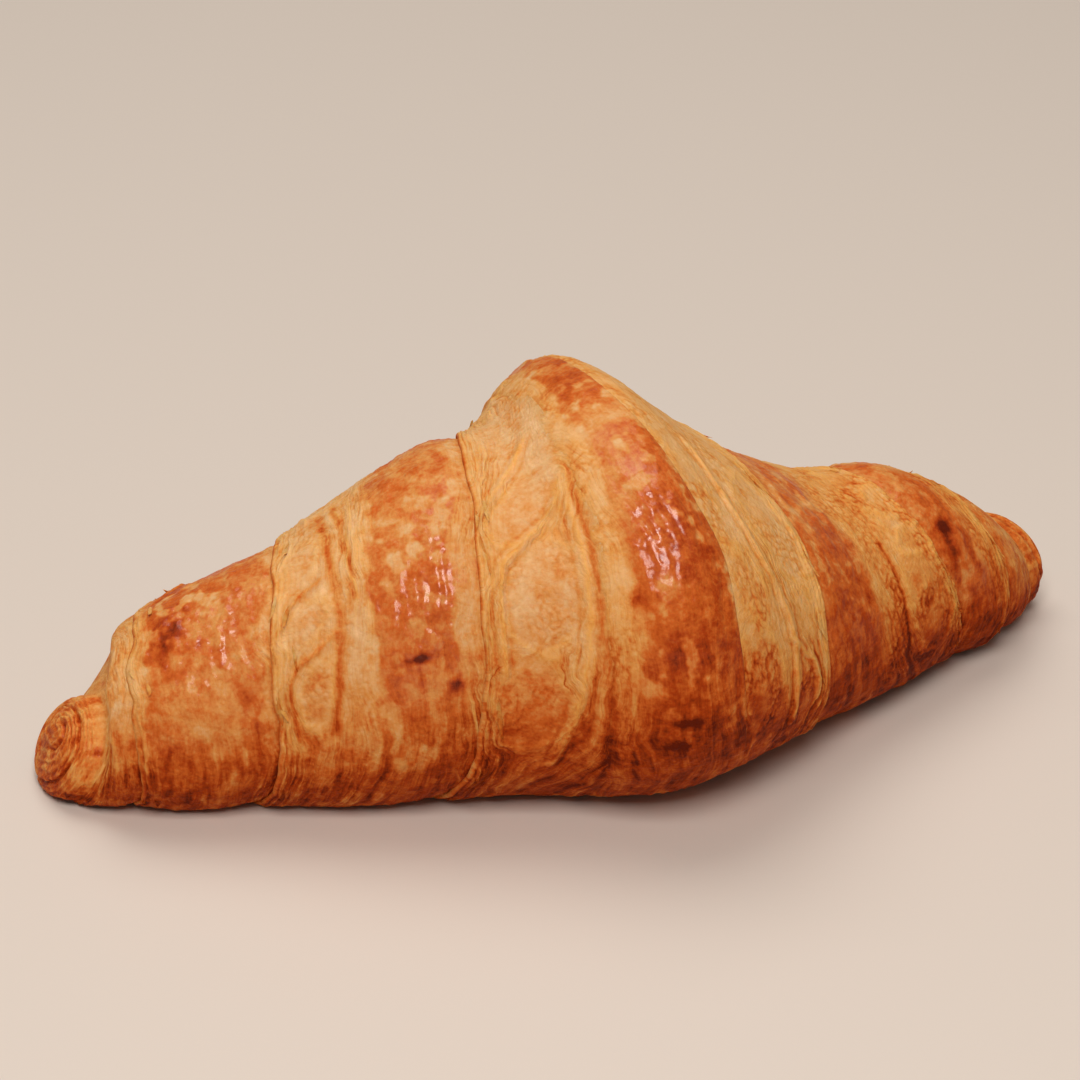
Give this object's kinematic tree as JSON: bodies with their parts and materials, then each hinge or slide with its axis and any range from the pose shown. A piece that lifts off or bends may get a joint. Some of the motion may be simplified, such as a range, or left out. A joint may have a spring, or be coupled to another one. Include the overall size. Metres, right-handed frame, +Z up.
{
  "type": "croissant",
  "caption": "Baked croissant of laminated dough, rolled in overlapping wraps with stepped free edges, a tall centre, slightly bowed-back tips and a flat underside.",
  "frame": {"origin": "on the flat underside, at the middle of the part's box", "axes": "+X along the roll, from the blunt tip to the round tip; +Y towards the side that the tips bow back to; +Z up"},
  "size_m": [0.1756, 0.0822, 0.0631],
  "materials": {
    "crust": "baked laminated dough: glossy egg-washed brown on top of each wrap, matte golden layers at its cut edge"
  },
  "bodies": {
    "root": {"croissant": "crust"}
  },
  "joints": []
}
